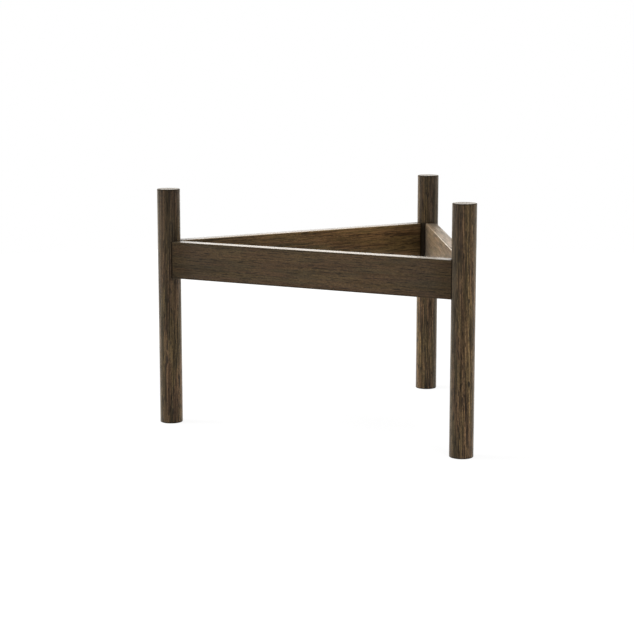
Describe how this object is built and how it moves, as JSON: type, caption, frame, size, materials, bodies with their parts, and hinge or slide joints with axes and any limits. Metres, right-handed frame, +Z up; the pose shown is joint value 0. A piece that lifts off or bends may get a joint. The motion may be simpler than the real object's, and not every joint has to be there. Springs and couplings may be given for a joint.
{
  "type": "plant stand",
  "caption": "Low triangular stand for a plant pot: upright round posts at the corners, joined by flat rails on edge that carry the pot between the post tops.",
  "frame": {"origin": "on the floor, in the middle between the three posts", "axes": "+Z up along the upright axis of three-fold symmetry, +X along the front rail to the right, -Y out of the front"},
  "size_m": [0.375, 0.3281, 0.26],
  "materials": {
    "dark_stained_wood": "dark brown stain under a satin lacquer, open grain",
    "dowel_wood": "plain beech, unfinished"
  },
  "bodies": {
    "root": {"left_post": "dark_stained_wood", "right_post": "dark_stained_wood", "back_post": "dark_stained_wood", "front_rail": "dark_stained_wood", "right_rail": "dark_stained_wood", "left_rail": "dark_stained_wood", "front_rail_left_lower_dowel": "dowel_wood", "front_rail_left_upper_dowel": "dowel_wood", "front_rail_right_lower_dowel": "dowel_wood", "front_rail_right_upper_dowel": "dowel_wood", "right_rail_front_lower_dowel": "dowel_wood", "right_rail_front_upper_dowel": "dowel_wood", "right_rail_back_lower_dowel": "dowel_wood", "right_rail_back_upper_dowel": "dowel_wood", "left_rail_back_lower_dowel": "dowel_wood", "left_rail_back_upper_dowel": "dowel_wood", "left_rail_front_lower_dowel": "dowel_wood", "left_rail_front_upper_dowel": "dowel_wood"}
  },
  "joints": []
}
